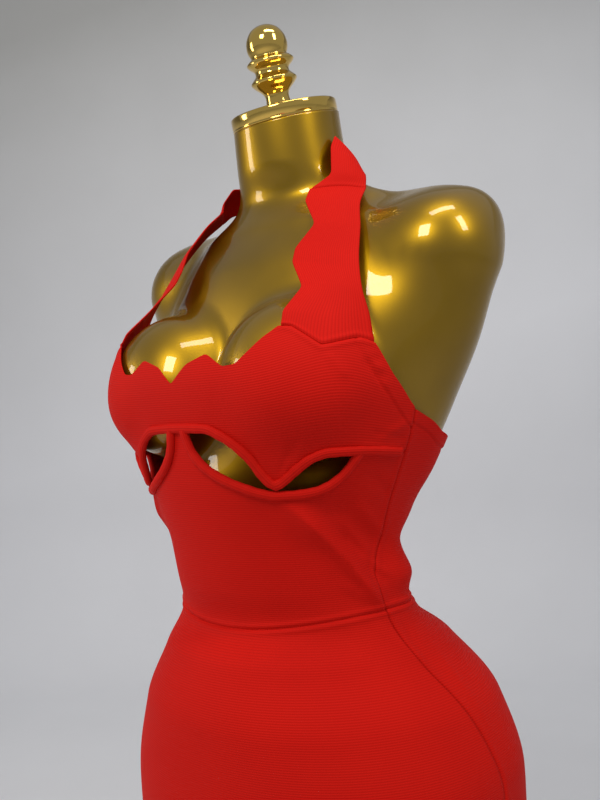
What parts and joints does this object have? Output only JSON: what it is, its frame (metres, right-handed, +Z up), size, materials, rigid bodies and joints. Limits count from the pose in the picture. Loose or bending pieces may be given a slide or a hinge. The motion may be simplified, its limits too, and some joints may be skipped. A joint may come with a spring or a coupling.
{
  "type": "bodycon dress on a dress form",
  "caption": "Halter-neck cut-out bodycon dress in ribbed knit, with scalloped neckline and padded underbust bindings, on a limbless dress form with a round stand",
  "frame": {"origin": "centre of the stand's underside", "axes": "+Z up, the dress faces -Y, +X is the wearer's left"},
  "size_m": [0.397, 0.3446, 1.1514],
  "materials": {
    "rib_knit": "matt bandage knit with fine crosswise ribs",
    "binding_knit": "padded rib-knit binding",
    "gold_lacquer": "metallic gold lacquer on a moulded shell",
    "gold_plate": "polished gold plate"
  },
  "bodies": {
    "root": {"bust_panel": "rib_knit", "midriff_panel": "rib_knit", "back_panel": "rib_knit", "skirt_front": "rib_knit", "skirt_back": "rib_knit", "strap_left": "rib_knit", "strap_right": "rib_knit", "neckband": "rib_knit", "bust_binding_centre": "binding_knit", "bust_binding_left": "binding_knit", "bust_binding_right": "binding_knit", "midriff_binding_left": "binding_knit", "midriff_binding_right": "binding_knit", "dress_form": "gold_lacquer", "neck_cap": "gold_plate", "finial": "gold_plate", "stand_pole": "gold_plate", "stand_base": "gold_plate"}
  },
  "joints": []
}
